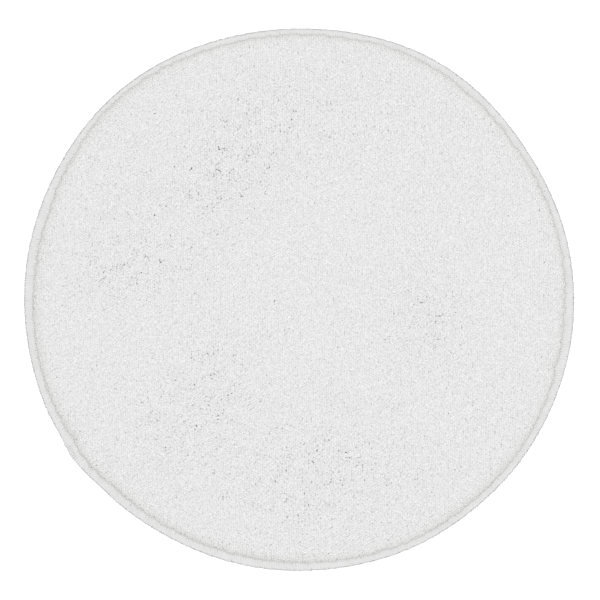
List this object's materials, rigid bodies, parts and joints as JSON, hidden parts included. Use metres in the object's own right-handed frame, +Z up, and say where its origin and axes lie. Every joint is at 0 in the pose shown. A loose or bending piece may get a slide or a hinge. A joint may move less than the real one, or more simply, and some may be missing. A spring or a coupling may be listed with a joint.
{
  "type": "bath mat",
  "caption": "Round white cut-pile bath mat with an overlocked edge and a dotted rubber underside, lying flat.",
  "frame": {"origin": "on the floor, under the centre of the mat", "axes": "+Z up, from the rubber underside to the pile; +X and +Y along the floor, with +X to the right and +Y away when the mat is seen from above"},
  "size_m": [0.6, 0.6, 0.0151],
  "materials": {
    "pile_yarn": "matt soft polyester microfibre yarn, cut ends up, white",
    "edging_yarn": "textured polyester overlock yarn, white",
    "needle_thread": "spun polyester sewing thread, white",
    "backing_cloth": "plain-woven polypropylene tape, off-white",
    "latex": "dried latex coat, matt cream",
    "grip_rubber": "moulded thermoplastic rubber, matt off-white, raised dots"
  },
  "bodies": {
    "root": {"grip_sheet": "grip_rubber", "latex_coat": "latex", "backing_cloth": "backing_cloth", "pile": "pile_yarn", "edge_cover_yarn": "edging_yarn", "edge_under_yarn": "edging_yarn", "edge_needle_thread": "needle_thread", "edge_lap_stitches": "edging_yarn"}
  },
  "joints": []
}
